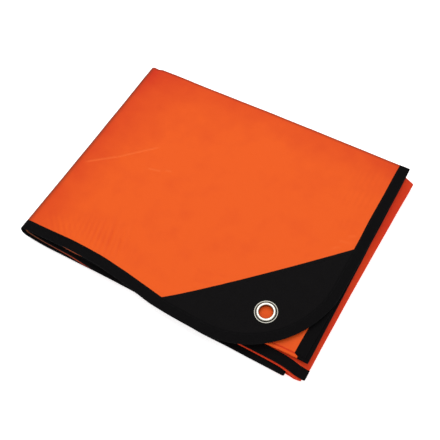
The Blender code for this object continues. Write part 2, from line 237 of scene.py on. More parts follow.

# Painted shade: how much deeper and redder the orange of the top panel is drawn over turns, towards
# the left fold and the far side, and in the dip before the second layer's roll.
PAINTED_SHADE = (
    # s      t      wide_s  wide_t  amount
    (254.0, 96.0, 11.0, 400.0, 0.15),
    (252.0, 60.0, 30.0, 200.0, 0.42),
    (262.0, 170.0, 62.0, 70.0, 0.34),
    (120.0, 193.5, 500.0, 3.2, 0.80),
    (110.0, 194.0, 500.0, 26.0, 0.36),
    (166.0, 64.0, 20.0, 24.0, -0.04),
    (20.0, 384.0, 60.0, 40.0, 0.22),
    (20.0, 388.5, 70.0, 3.0, 0.45),
    (8.0, 186.0, 26.0, 12.0, 0.22),
    (188.0, 26.0, 26.0, 10.0, 0.10),
    (138.0, 64.0, 6.0, 18.0, 0.10),
    (20.0, 160.0, 20.0, 30.0, 0.08),
    (12.0, VALLEY_T, 34.0, 0.45, 0.9),
)
LOWER_PANELS_SHADE = 0.9  # painted shade for the two panels below the top one
RIM_SHADE_S = (RUN_S + 0.26 * TURN_S, 1.8)  # where painted shade darkens the left turn, and half how widely
RIM_SHADE_T = (RUN_T + 0.5, 0.55)  # the same for the top layer's far turn
TUCKED_SHADE = (RUN_S + TURN_S / 2, ROLL_T + TURN_T / 2, 75.0, 9.0)  # painted shade on the roll deep inside the left turn
CREASE_REACH = 3.2  # how far beside a crease the faces are cut
CREASE_OVERRUN = 0.02  # the share of a crease's length by which the cuts run past its ends
CREASE_SNAP = 0.05  # the distance within which a cut takes a vertex that is there
SAME_PLACE = 0.001  # the distance within which two vertices are one
SHORTEST = 1e-9  # keeps a division safe
DECIMALS = 5  # that the places where a flat piece is cut are rounded to
MIX_SOCKETS = (0, 6, 7)  # of a mix node: the share and the two colours


@dataclass(frozen=True)
class Crease:
    """A sharp line pressed into the flat cloth."""

    start: Pair
    end: Pair
    height: float
    width: float = 0.9
    wear_and_highlight: float = 0.45  # how strongly its line is lightened, a painted highlight
    fade: float = 0.18  # the share of its length over which each end fades

    def distances(self, flat: Array) -> tuple[Array, Array]:
        """How far places lie beside the crease's line and along it.

        Args:
            flat: Places on the sheet, one row each.

        Returns:
            The distance beside the line and the share of the way along it.
        """
        start, end = np.array(self.start), np.array(self.end)
        run = end - start
        length = float(np.hypot(*run))
        away = flat[:, :2] - start
        along = away @ run / length**2
        beside = (away[:, 0] * run[1] - away[:, 1] * run[0]) / length
        return beside, along

    def strength(self, flat: Array) -> Array:
        """How strongly the crease shows, fading at its two ends.

        Args:
            flat: Places on the sheet.

        Returns:
            0 to 1 at each place.
        """
        beside, along = self.distances(flat)
        ridge = np.clip(1 - np.abs(beside) / self.width, 0, 1)
        fade = np.clip(np.minimum(along, 1 - along) / self.fade, 0, 1)
        return ridge * fade * fade * (3 - 2 * fade)


CREASES = (
    Crease((242.7, 74.8), (216.9, 94.0), -0.42, 1.6, 0.50),
    Crease((224.1, 87.5), (190.9, 117.8), -0.42, 1.6, 0.50),
    Crease((190.3, 93.4), (177.3, 96.2), -0.26, 1.4, 0.45),
    Crease((175.3, 98.7), (168.8, 100.2), -0.20, 1.4, 0.35),
    Crease((23.0, 101.0), (17.0, 106.0), 0.20, 1.8, 0.2),
    Crease((21.5, 109.0), (12.0, 111.5), 0.26, 2.0, 0.2),
    Crease((16.5, 115.5), (10.5, 119.5), 0.18, 1.8, 0.2),
    Crease((32.5, 67.0), (15.0, 53.5), 0.18),
    Crease((620.0, 640.0), (700.0, 682.0), 0.22),
    Crease((560.0, 700.0), (590.0, 655.0), 0.18),
)


def smooth_reading(knots: Array, values: Array, at: Array) -> Array:
    """Reads a smooth curve through a table that never swings past two neighbouring rows.

    Args:
        knots: The rows' places, rising.
        values: The rows' values.
        at: The places to read.

    Returns:
        The value at each place, held level past either end of the table.
    """
    at = np.clip(at, knots[0], knots[-1])
    steps = np.diff(knots)
    grades = np.diff(values) / steps
    slopes = np.zeros(len(knots))
    before, after = grades[:-1], grades[1:]
    agree = before * after > 0
    slopes[1:-1][agree] = 2 * before[agree] * after[agree] / (before[agree] + after[agree])
    i = np.clip(np.searchsorted(knots, at, side="right") - 1, 0, len(steps) - 1)
    x = (at - knots[i]) / steps[i]
    low = values[i] * (1 + 2 * x) * (1 - x) ** 2 + slopes[i] * steps[i] * x * (1 - x) ** 2
    high = values[i + 1] * x * x * (3 - 2 * x) + slopes[i + 1] * steps[i] * x * x * (x - 1)
    return low + high


def bell(a: Array, b: Array, middle: Pair, wide: Pair) -> Array:
    """A soft round bump of height 1 over two coordinates."""
    return np.exp(-(((a - middle[0]) / wide[0]) ** 2) - ((b - middle[1]) / wide[1]) ** 2)


def ripples(s: Array, t: Array) -> Array:
    """How high the fine ripples stand.

    Args:
        s: Places along the sheet.
        t: Places across it.

    Returns:
        The height at each place.
    """
    stray, stray_length, skew_length = RIPPLE_DRIFT
    lift = np.zeros(len(s))
    for mid_s, mid_t, wide_s, wide_t, direction, length, height in RIPPLES:
        turn = math.radians(direction)
        across = s * math.cos(turn) + t * math.sin(turn)
        drift = stray * np.sin(across / stray_length + t / skew_length)
        phase = 2 * math.pi * across / length + drift
        lift += height * np.sin(phase) * bell(s, t, (mid_s, mid_t), (wide_s, wide_t))
    return lift


def flap_distance(flat: Array) -> Array:
    """How far sheet places lie past the slanted edge of the corner patch."""
    past = 1 - flat[:, 0] / PATCH_LEG_S - flat[:, 1] / PATCH_LEG_T
    return past / math.hypot(1 / PATCH_LEG_S, 1 / PATCH_LEG_T)


def eyelet_reach(flat: Array) -> Array:
    """How far sheet places lie from the middle of the eyelet."""
    return np.hypot(*(flat[:, :2] - EYELET).T)


def edge_inset(flat: Array) -> Array:
    """How far sheet places lie inside the sheet's outline with its four round corners.

    Args:
        flat: Places on the sheet.

    Returns:
        The distance from the outline at each place, less than 0 outside it.
    """
    past = np.abs(flat[:, :2] - SHEET_MIDDLE) - (SHEET_MIDDLE - CORNER_RADIUS)
    round_part = np.hypot(*np.maximum(past, 0).T)
    return CORNER_RADIUS - round_part - np.minimum(past.max(axis=1), 0)


def spaced(start: float, end: float, pitch: float) -> Array:
    """Places from start to end, about one pitch apart."""
    return np.linspace(start, end, max(1, round((end - start) / pitch)) + 1)


def stations(run: float, turn: float, pitches: Sequence[float], turn_steps: int) -> Array:
    """Places where a flat piece is cut, so that it can bend there.

    Args:
        run: The length between two turns.
        turn: The length of one turn.
        pitches: The spacing in each run.
        turn_steps: How many straight pieces stand for a turn.

    Returns:
        The places, rising.
    """
    parts = []
    for i, pitch in enumerate(pitches):
        start = i * (run + turn)
        parts.append(spaced(start, start + run, pitch))
        if i + 1 < len(pitches):
            parts.append(np.linspace(start + run, start + run + turn, turn_steps + 1))
    return np.unique(np.round(np.concatenate(parts), DECIMALS))


def between(places: Array, low: float, high: float, nearest: float) -> Array:
    """Keeps the places between two ends, and adds the ends.

    Args:
        places: Places along a line, rising.
        low: The first end.
        high: The last end.
        nearest: How close to an end a place may lie.

    Returns:
        The places, rising.
    """
    inner = places[(places > low + nearest) & (places < high - nearest)]
    return np.unique(np.concatenate([[low], np.round(inner, DECIMALS), [high]]))


@dataclass
class Fold:
    """The rule that folds flat cloth into the packet, where the frame has it."""

    shift_u: float = field(init=False)
    shift_v: float = field(init=False)
    # How a folded edge wanders
    waves: tuple[tuple[float, float, float], ...] = (
        # length  offset  height
        (19.0, 1.7, 0.072),
        (7.3, 2.9, 0.048),
    )
    lines_before: int = 7  # added to a column of LAYER_REACH, to number the wave of its edge

    def __post_init__(self) -> None:
        """Reads from the frame where the packet lies."""
        left_reach = INNER_RADIUS + (LAYERS - 1) * PITCH + CLOTH / 2
        packet_left = min(row[2] for row in LAYER_REACH) - left_reach
        packet_near = min(row[2] for row in FOLD_LINES)
        self.shift_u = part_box("blanket_cloth")[0].x / MM - packet_left
        self.shift_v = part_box("edge_tape")[0].y / MM - packet_near

    def wave(self, at: Array, line: int) -> Array:
        """The small unevenness of one folded edge, by its number."""
        return sum(high * np.sin(at / length + offset * line) for length, offset, high in self.waves)

    def section(self, flat: Array, n: Array) -> tuple[Array, Array]:
        """Folds the layers of a strip over one another.

        Args:
            flat: Places on the sheet.
            n: Height of each above the middle of the cloth.

        Returns:
            v, and the height w above the middle of the strip's lowest layer.
        """
        s, t = flat[:, 0], flat[:, 1]
        knots = np.array([
            (panel - 1) * (RUN_S + TURN_S) + (u - LEFT_U if panel == 2 else RIGHT_U - u)
            for panel, u, *_ in FOLD_LINES
        ])
        columns = np.array(FOLD_LINES)[:, 2:].T
        inwards = (0.0, -TURN_REACH, TURN_REACH, -TURN_REACH, 0.0)
        ends = np.stack([
            smooth_reading(knots, column, s) + inward + self.wave(s, line)
            for line, (column, inward) in enumerate(zip(columns, inwards))
        ])
        layer = np.minimum(t // LAYER, LAYERS - 1).astype(int)
        along = t - layer * LAYER
        side = 1 - 2 * (layer % 2)
        height = (LAYERS - 1 - layer) * PITCH
        each = np.arange(len(s))
        start, end = ends[layer, each], ends[layer + 1, each]
        turning = (along > RUN_T) & (layer < LAYERS - 1)
        angle = np.pi * (along - RUN_T) / TURN_T
        radius = PITCH / 2 + side * n
        v = np.where(turning, end + side * radius * np.sin(angle), start + (end - start) * along / RUN_T)
        w = np.where(turning, height - PITCH / 2 + radius * np.cos(angle), height + side * n)
        return v, w

    def panels(self, flat: Array, w: Array) -> tuple[Array, Array]:
        """Folds the strip's panels over one another.

        Args:
            flat: Places on the sheet.
            w: Height of each above the middle of the strip's lowest layer.

        Returns:
            u and z in the packet.
        """
        s, t = flat[:, 0], flat[:, 1]
        table = np.array(LAYER_REACH)
        layers = t / LAYER
        ends = np.stack([
            smooth_reading(table[:, 0], table[:, column], layers) + self.wave(t, self.lines_before + column)
            for column in range(1, table.shape[1])
        ])
        left = INNER_RADIUS + w
        right = INNER_RADIUS + (LAYERS - 1) * PITCH - w
        panel = np.minimum(s // (RUN_S + TURN_S), PANELS - 1).astype(int)
        along = s - panel * (RUN_S + TURN_S)
        each = np.arange(len(s))
        start, end = ends[panel, each], ends[panel + 1, each]
        turning = (along > RUN_S) & (panel < PANELS - 1)
        angle = np.pi * (along - RUN_S) / TURN_S
        levels = np.stack([LEFT_TURN_Z + left, LEFT_TURN_Z - left, RIGHT_TURN_Z - right])
        on_left = panel == 0
        radius = np.where(on_left, left, right)
        press = np.where(on_left, 1.0, PRESS)
        outward = np.where(on_left, -left, PRESSED_REACH * right)
        turn_z = np.where(on_left, LEFT_TURN_Z, RIGHT_TURN_Z)
        out = np.abs(np.sin(angle)) ** press
        up = np.sign(np.cos(angle)) * np.abs(np.cos(angle)) ** press
        u = np.where(turning, end + outward * out, start + (end - start) * along / RUN_S)
        z = np.where(turning, turn_z + radius * up, levels[panel, each])
        return u, z

    def relief(self, flat: Array) -> Array:
        """How much the cloth's own swells, ripples and creases lift it off its layer.

        Args:
            flat: Places on the sheet.

        Returns:
            The height at each place.
        """
        s, t = flat[:, 0], flat[:, 1]
        lift = np.zeros(len(s))
        for mid_s, mid_t, wide_s, wide_t, height in SWELLS:
            lift += height * bell(s, t, (mid_s, mid_t), (wide_s, wide_t))
        lift += ripples(s, t)
        for crease in CREASES:
            lift += crease.height * crease.strength(flat)
        return lift

    def place(self, flat: Array) -> Array:
        """Folds flat places.

        Args:
            flat: Rows of s, t and n in millimetres.

        Returns:
            Rows of x, y and z in the row frame, in metres.
        """
        v, w = self.section(flat, flat[:, 2] + self.relief(flat))
        u, z = self.panels(flat, w)
        for mid_u, mid_v, wide_u, wide_v, height, upper in RISES:
            share = np.clip(z / TOP, 0, None) ** upper
            z = z + height * bell(u, v, (mid_u, mid_v), (wide_u, wide_v)) * share
        z = z + FLAP_SLOPE * FLAP_SOFTNESS * np.logaddexp(0, flap_distance(flat) / FLAP_SOFTNESS)
        return MM * np.stack([u + self.shift_u, v + self.shift_v, np.maximum(z, 0)], axis=1)


class Weave(Enum):
    """How the threads of a finish cross."""

    PLAIN = "plain"
    RIBBED = "ribbed"
    COATED = "coated"


class Graph:
    """The node tree of one material, with short ways to add to it."""

    def __init__(self, name: str) -> None:
        """Starts a material with its shader.

        Args:
            name: The material's name.
        """
        self.material = bpy.data.materials.new(name)
        self.material.use_nodes = True
        self.tree = self.material.node_tree
        self.shader = self.tree.nodes["Principled BSDF"]

    def add(self, kind: str, settings: dict | None = None, **inputs: object) -> bpy.types.Node:
        """Adds a node.

        Args:
            kind: The node's type.
            settings: Its own properties.
            inputs: Its sockets, by name with _ for a space, each a value or another socket.

        Returns:
            The node.
        """
        node = self.tree.nodes.new(kind)
        for key, value in (settings or {}).items():
            setattr(node, key, value)
        self.feed_all(node, inputs)
        return node

    def feed_all(self, node: bpy.types.Node, inputs: dict[str, object]) -> None:
        """Feeds a node's sockets, by name with _ for a space."""
        for key, value in inputs.items():
            self.feed(node.inputs[key.replace("_", " ")], value)

    def dress(self, **inputs: object) -> bpy.types.Material:
        """Feeds the shader's own sockets, and returns the material."""
        self.feed_all(self.shader, inputs)
        return self.material

    def feed(self, socket: bpy.types.NodeSocket, value: object) -> None:
        """Feeds one socket.

        Args:
            socket: The socket.
            value: Another socket to link it to, or its value.
        """
        if isinstance(value, bpy.types.NodeSocket):
            self.tree.links.new(value, socket)
        else:
            socket.default_value = value

    def math(self, operation: str, *values: object) -> bpy.types.NodeSocket:
        """One step of arithmetic.

        Args:
            operation: Blender's name of the step.
            values: Its operands, numbers or sockets.

        Returns:
            The socket with the result.
        """
        node = self.tree.nodes.new("ShaderNodeMath")
        node.operation = operation
        for socket, value in zip(node.inputs, values):
            self.feed(socket, value)
        return node.outputs[0]

    def noise(self, place: object, size: float, detail: float = 3.0) -> bpy.types.NodeSocket:
        """Soft noise.

        Args:
            place: The coordinates, in metres.
            size: The size of its blotches in metres.
            detail: How many finer levels it has.

        Returns:
            The socket with its value, about 0.5 on average.
        """
        made = self.add("ShaderNodeTexNoise", Vector=place, Scale=1 / size, Detail=detail)
        return made.outputs[0]

    def blend(self, share: object, first: object, second: object) -> bpy.types.NodeSocket:
        """Mixes two colours.

        Args:
            share: How much of the second one, from 0 to 1.
            first: A colour or a socket.
            second: A colour or a socket.

        Returns:
            The socket with the mixed colour.
        """
        node = self.add("ShaderNodeMix", {"data_type": "RGBA", "clamp_factor": True})
        for place, value in zip(MIX_SOCKETS, (share, first, second)):
            self.feed(node.inputs[place], (*value, 1.0) if isinstance(value, tuple) else value)
        return node.outputs[2]

    def bump(self, distance: float, height: object, under: object = None) -> bpy.types.NodeSocket:
        """Fine relief.

        Args:
            distance: Its height in metres.
            height: The socket that gives its shape.
            under: The relief that it lies on, if any.

        Returns:
            The socket with the bent normal.
        """
        below = {} if under is None else {"Normal": under}
        return self.add("ShaderNodeBump", Distance=distance, Height=height, **below).outputs[0]

    def ranged(self, share: object, ends: Pair) -> bpy.types.NodeSocket:
        """A number between two ends, by a share from 0 to 1."""
        return self.math("MULTIPLY_ADD", share, ends[1] - ends[0], ends[0])

    def attribute(self, name: str) -> bpy.types.NodeSocket:
        """The value of a mesh attribute."""
        return self.add("ShaderNodeAttribute", {"attribute_name": name}).outputs["Fac"]


@dataclass(frozen=True)
class ClothFinish:
    """A woven or coated cloth, seen from arm's length and from close by."""

    name: str
    slot: str
    base: Color
    mottle_and_shade_tone: Color  # the colour of painted shade, and the far end of the random mottling
    wear_and_highlight_tint: Color  # lighter colour: painted highlights along creases, wear at the black edges
    rim_shade: Color  # the colour of painted shade on folded rims and on the tucked roll
    mottled: float  # how much the colour wanders at random from base towards the shade colour
    roughness: Pair
    specular: float
    weave: Weave
    pitch: float  # of the threads, in metres
    thread_relief: float
    crinkle_size: float
    crinkle_relief: float
    fine_ribs: float = 0.35  # pitch and height of a ribbed weave's finer threads
    blotches: tuple[Pair, ...] = ((0.045, 2.0), (0.014, 4.0))  # size and detail
    sharp: float = 50.0  # degrees at which an edge stays sharp

    def threads(self, graph: Graph, place: bpy.types.NodeSocket) -> bpy.types.NodeSocket:
        """The height of the threads, about -1 to 1.

        Args:
            graph: The material's nodes.
            place: The piece's own UV coordinates, in metres.

        Returns:
            The socket with the height.
        """
        split = graph.add("ShaderNodeSeparateXYZ", Vector=place)
        ribbed = self.weave is Weave.RIBBED
        waves = []
        for i, ratio in enumerate((1.0, self.fine_ribs if ribbed else 1.0)):
            turns = graph.math("MULTIPLY", split.outputs[i], math.pi / (self.pitch * ratio))
            waves.append(graph.math("SINE", turns))
        if ribbed:
            ribs, fine = (graph.math("ABSOLUTE", wave) for wave in waves)
            return graph.math("ADD", ribs, graph.math("MULTIPLY", fine, self.fine_ribs))
        return graph.math("MULTIPLY", *waves)

    def material(self) -> bpy.types.Material:
        """Builds the material.

        Returns:
            The material, with threads, crinkles, mottled colour and worn creases.
        """
        graph = Graph(self.name)
        place = graph.add("ShaderNodeUVMap", {"uv_map": "cut"}).outputs[0]
        crinkles = graph.noise(place, self.crinkle_size)
        blotches = graph.math("ADD", *(graph.noise(place, *row) for row in self.blotches))
        spread = graph.ranged(blotches, (-self.mottled, 0.0))
        color = graph.blend(graph.math("ADD", graph.attribute("painted_shade"), spread), self.base, self.mottle_and_shade_tone)
        color = graph.blend(graph.attribute("wear_and_highlight"), color, self.wear_and_highlight_tint)
        color = graph.blend(graph.attribute("rim"), color, self.rim_shade)
        threads = graph.bump(self.thread_relief, self.threads(graph, place))
        return graph.dress(
            Base_Color=color,
            Roughness=graph.ranged(crinkles, self.roughness),
            # The material, with threads, crinkles, mottled colour, painted shade, painted dark rims and
            # painted highlights along creases.
            Specular_IOR_Level=self.specular,
            Normal=graph.bump(self.crinkle_relief, crinkles, threads),
        )


@dataclass(frozen=True)
class MetalFinish:
    """Plated metal with fine marks from the press."""

    name: str
    slot: str
    base: Color
    wear_and_highlight: Color
    metal_shade_color: Color  # the colour of painted shade in the groove, on the rim and in the bore
    roughness: Pair
    mark_relief: float
    patches: Pair = (0.004, 3.0)  # size and detail of its duller patches
    marks: Pair = (0.0006, 5.0)  # the same of its fine marks
    sharp: float = 40.0  # degrees at which an edge stays sharp

    def material(self) -> bpy.types.Material:
        """Builds the material.

        Returns:
            The material, with patchy gloss, fine marks and painted shade in its groove, on its rim and in
            its bore.
        """
        graph = Graph(self.name)
        place = graph.add("ShaderNodeTexCoord").outputs["Object"]
        patches = graph.noise(place, *self.patches)
        color = graph.blend(patches, self.base, self.wear_and_highlight)
        return graph.dress(
            Base_Color=graph.blend(graph.attribute("metal_shade"), color, self.metal_shade_color),
            Metallic=1.0,
            Roughness=graph.ranged(patches, self.roughness),
            Normal=graph.bump(self.mark_relief, graph.noise(place, *self.marks)),
        )


COATED_ORANGE = ClothFinish(
    name="coated_orange_cloth",
    slot="orange_coated_cloth",
    base=(0.815, 0.104, 0.0115),
    mottle_and_shade_tone=(0.600, 0.032, 0.009),
    wear_and_highlight_tint=(0.900, 0.165, 0.035),
    rim_shade=(0.130, 0.036, 0.012),
    mottled=0.40,
    roughness=(0.42, 0.56),
    specular=0.07,
    weave=Weave.COATED,
    pitch=0.0011,
    thread_relief=0.000005,
    crinkle_size=0.004,
    crinkle_relief=0.00008,
)
BLACK_BINDING = ClothFinish(
    name="black_binding_tape",
    slot="black_tape",
    base=(0.0038, 0.0035, 0.0038),
    mottle_and_shade_tone=(0.0024, 0.0023, 0.0026),
    wear_and_highlight_tint=(0.007, 0.007, 0.0075),
    rim_shade=(0.003, 0.003, 0.003),
    mottled=0.3,
    roughness=(0.55, 0.75),
    specular=0.03,
    weave=Weave.RIBBED,
    pitch=0.0009,
    thread_relief=0.00008,
    crinkle_size=0.003,
    crinkle_relief=0.00006,
)
BLACK_WEAVE = ClothFinish(
    name="black_patch_weave",
    slot="black_weave",
    base=(0.0050, 0.0045, 0.0048),
    mottle_and_shade_tone=(0.0036, 0.0032, 0.0035),
    wear_and_highlight_tint=(0.010, 0.0095, 0.010),
    rim_shade=(0.004, 0.004, 0.004),
    mottled=0.3,
    roughness=(0.6, 0.8),
    specular=0.04,
    weave=Weave.PLAIN,
    pitch=0.0006,
    thread_relief=0.00006,
    crinkle_size=0.006,
    crinkle_relief=0.00012,
)
BLACK_THREAD = ClothFinish(
    name="black_thread",
    slot="black_tape",
    base=(0.0050, 0.0048, 0.0052),
    mottle_and_shade_tone=(0.0035, 0.0034, 0.0037),
    wear_and_highlight_tint=(0.009, 0.009, 0.0095),
    rim_shade=(0.004, 0.004, 0.004),
    mottled=0.2,
    roughness=(0.45, 0.60),
    specular=0.05,
    weave=Weave.RIBBED,
    pitch=0.0003,
    thread_relief=0.00003,
    crinkle_size=0.001,
    crinkle_relief=0.00001,
)
NICKEL = MetalFinish(
    name="nickel_plating",
    slot="nickel",
    base=(0.78, 0.76, 0.66),
    wear_and_highlight=(0.60, 0.58, 0.51),
    metal_shade_color=(0.020, 0.020, 0.020),
    roughness=(0.12, 0.26),
    mark_relief=0.00001,
)


def lattice(columns: Array, rows: Array) -> bmesh.types.BMesh:
    """A flat net of faces with its lines at chosen places.

    Args:
        columns: The places of its lines along s.
        rows: The places of its lines along t.

    Returns:
        The net, at height 0.
    """
    bm = bmesh.new()
    across, up = len(columns) - 1, len(rows) - 1
    bmesh.ops.create_grid(bm, x_segments=across, y_segments=up, size=1.0)
    for vert in bm.verts:
        i = round((vert.co.x + 1) / 2 * across)
        j = round((vert.co.y + 1) / 2 * up)
        vert.co = (columns[i], rows[j], 0.0)
    return bm


def face_middles(bm: bmesh.types.BMesh) -> Array:
    """The middle of every face, with the faces ready to be read by number."""
    bm.faces.ensure_lookup_table()
    return np.array([face.calc_center_median()[:] for face in bm.faces])


def trim(bm: bmesh.types.BMesh, kept: Callable[[Array], Array]) -> None:
    """Deletes the faces whose middle isn't kept.

    Args:
        bm: The flat piece.
        kept: Says for each place whether a face there stays.
    """
    staying = kept(face_middles(bm))
    gone = [face for face, stays in zip(bm.faces[:], staying) if not stays]
    bmesh.ops.delete(bm, geom=gone, context="FACES")


def move_points(bm: bmesh.types.BMesh, mover: Callable[[Array], Array]) -> None:
    """Moves every vertex.

    Args:
        bm: The flat piece.
        mover: Gives the new places of all the vertices from the old ones.
    """
    points = mover(np.array([vert.co[:] for vert in bm.verts]))
    for vert, point in zip(bm.verts, points):
        vert.co = point


def pull_into_outline(points: Array, inset: float) -> Array:
    """Moves points that lie outside the inset outline's round corners onto it.

    Args:
        points: Places on the sheet.
        inset: How far inside the sheet's own outline the new one runs.

    Returns:
        The moved places.
    """
    offset = points[:, :2] - SHEET_MIDDLE
    centre = SHEET_MIDDLE + np.sign(offset) * (SHEET_MIDDLE - CORNER_RADIUS)
    away = points[:, :2] - centre
    in_corner = (away * np.sign(offset) > 0).all(axis=1)
    reach = np.hypot(*away.T)
    outside = in_corner & (reach > CORNER_RADIUS - inset)
    moved = points.copy()
    share = (CORNER_RADIUS - inset) / np.maximum(reach, SHORTEST)
    moved[outside, :2] = (centre + away * share[:, None])[outside]
    return moved


def push_off_hole(points: Array) -> Array:
    """Moves points that lie inside the hole for the eyelet onto its rim.

    Args:
        points: Places on the sheet.

    Returns:
        The moved places.
    """
    reach = eyelet_reach(points)
    inside = reach < HOLE
    share = HOLE / np.maximum(reach, SHORTEST)
    moved = points.copy()
    moved[inside, :2] = (EYELET + (points[:, :2] - EYELET) * share[:, None])[inside]
    return moved


def make_mesh(bm: bmesh.types.BMesh, name: str) -> bpy.types.Mesh:
    """Turns a finished net into a mesh, and frees the net.

    Args:
        bm: The net.
        name: The mesh's name.

    Returns:
        The mesh.
    """
    mesh = bpy.data.meshes.new(name)
    bm.to_mesh(mesh)
    bm.free()
    return mesh


def add_object(name: str, data: bpy.types.ID) -> bpy.types.Object:
    """Adds an object to the scene.

    Args:
        name: Its name.
        data: Its mesh, light or camera.

    Returns:
        The object.
    """
    added = bpy.data.objects.new(name, data)
    bpy.context.scene.collection.objects.link(added)
    return added


@dataclass
class FlatPiece:
    """A piece that is cut flat and folded with the blanket."""

    fold: Fold
    name: str
    finish: ClothFinish

    def rim(self, flat: Array) -> Array:
        """How much painted shade darkens a folded edge at each place."""
        return np.zeros(len(flat))

    def painted_shade(self, flat: Array) -> Array:
        """How much painted shade deepens the colour at each place."""
        return np.zeros(len(flat))

    def wear_and_highlight(self, flat: Array) -> Array:
        """How much lighter the piece is at each place, from wear and painted highlights."""
        return np.zeros(len(flat))

    def thicken(self, bm: bmesh.types.BMesh) -> None:
        """Gives the flat faces an upper and a lower side, at heights 1 and -1.

        Args:
            bm: The flat piece.
        """
        bmesh.ops.translate(bm, verts=bm.verts[:], vec=(0, 0, -1))
        raised = bmesh.ops.extrude_face_region(bm, geom=bm.faces[:])["geom"]
        verts = [item for item in raised if isinstance(item, bmesh.types.BMVert)]
        bmesh.ops.translate(bm, verts=verts, vec=(0, 0, 2))
        bmesh.ops.recalc_face_normals(bm, faces=bm.faces[:])

    def cut_creases(self, bm: bmesh.types.BMesh) -> None:
        """Cuts the flat piece along the creases, so that each is a true sharp line.

        Args:
            bm: The flat piece.
        """
        for crease in CREASES:
            start, end = Vector((*crease.start, 0)), Vector((*crease.end, 0))
            across = Vector((0, 0, 1)).cross(end - start).normalized()
            for step in (-1, 0, 1):
                beside, along = crease.distances(face_middles(bm))
                within = np.abs(along - 0.5) < 0.5 + CREASE_OVERRUN
                faces = [bm.faces[i] for i in np.flatnonzero((np.abs(beside) < CREASE_REACH) & within)]
                parts = {part for face in faces for part in (*face.verts, *face.edges)}
                bmesh.ops.bisect_plane(
                    bm,
                    geom=[*faces, *parts],
                    dist=CREASE_SNAP,
                    plane_co=start + across * step * crease.width,
                    plane_no=across,
                )

    def wrap(self, bm: bmesh.types.BMesh, half: Callable[[Array], Array] | None = None) -> bpy.types.Object:
        """Folds a piece and dresses it.

        Args:
            bm: The closed flat piece.
            half: Half its thickness at each place. Without it, n is already real.

        Returns:
            The finished object.
        """
        bmesh.ops.reverse_faces(bm, faces=bm.faces[:])  # s runs against u, which mirrors the piece
        mesh = make_mesh(bm, self.name)
        flat = np.empty(len(mesh.vertices) * 3, np.float32)
        mesh.vertices.foreach_get("co", flat)
        flat = flat.reshape(-1, 3).astype(float)
        if half is not None:
            flat[:, 2] *= half(flat)
        folded = self.fold.place(flat)
        mesh.vertices.foreach_set("co", folded.astype(np.float32).ravel())
        self.lay_out(mesh, flat)
        shades = {"painted_shade": self.painted_shade(flat), "wear_and_highlight": self.wear_and_highlight(flat), "rim": self.rim(flat)}
        for key, values in shades.items():
            layer = mesh.attributes.new(key, "FLOAT", "POINT")
            layer.data.foreach_set("value", values.astype(np.float32))
        return add_piece(self.name, mesh, self.finish)

    def lay_out(self, mesh: bpy.types.Mesh, flat: Array) -> None:
        """Gives the mesh a UV map in metres of the flat cloth.

        Args:
            mesh: The folded mesh.
            flat: Where its vertices lie on the flat sheet.
        """
        corners = np.empty(len(mesh.loops), np.int32)
        mesh.loops.foreach_get("vertex_index", corners)
        place = flat[:, :2]
        if "along" in mesh.attributes:
            along = np.empty(len(mesh.vertices), np.float32)
            mesh.attributes["along"].data.foreach_get("value", along)
            place = np.stack([along, edge_inset(flat)], axis=1)
        layer = mesh.uv_layers.new(name="cut")
        layer.data.foreach_set("uv", (place[corners] * MM).astype(np.float32).ravel())


def add_piece(name: str, mesh: bpy.types.Mesh, finish: ClothFinish | MetalFinish) -> bpy.types.Object:
    """Adds a finished mesh to the scene as a piece that rides on the blanket.

    Args:
        name: The piece's name.
        mesh: Its mesh, in the row frame.
        finish: What it is made of.

    Returns:
        The object.
    """
    material = bpy.data.materials.get(finish.name) or finish.material()
    mesh.materials.append(material)
    mesh.shade_smooth()
    mesh.set_sharp_from_angle(angle=math.radians(finish.sharp))
    piece = add_object(name, mesh)
    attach(piece, BODY)
    LOG.info("%s: %d faces", name, len(mesh.polygons))
    return piece


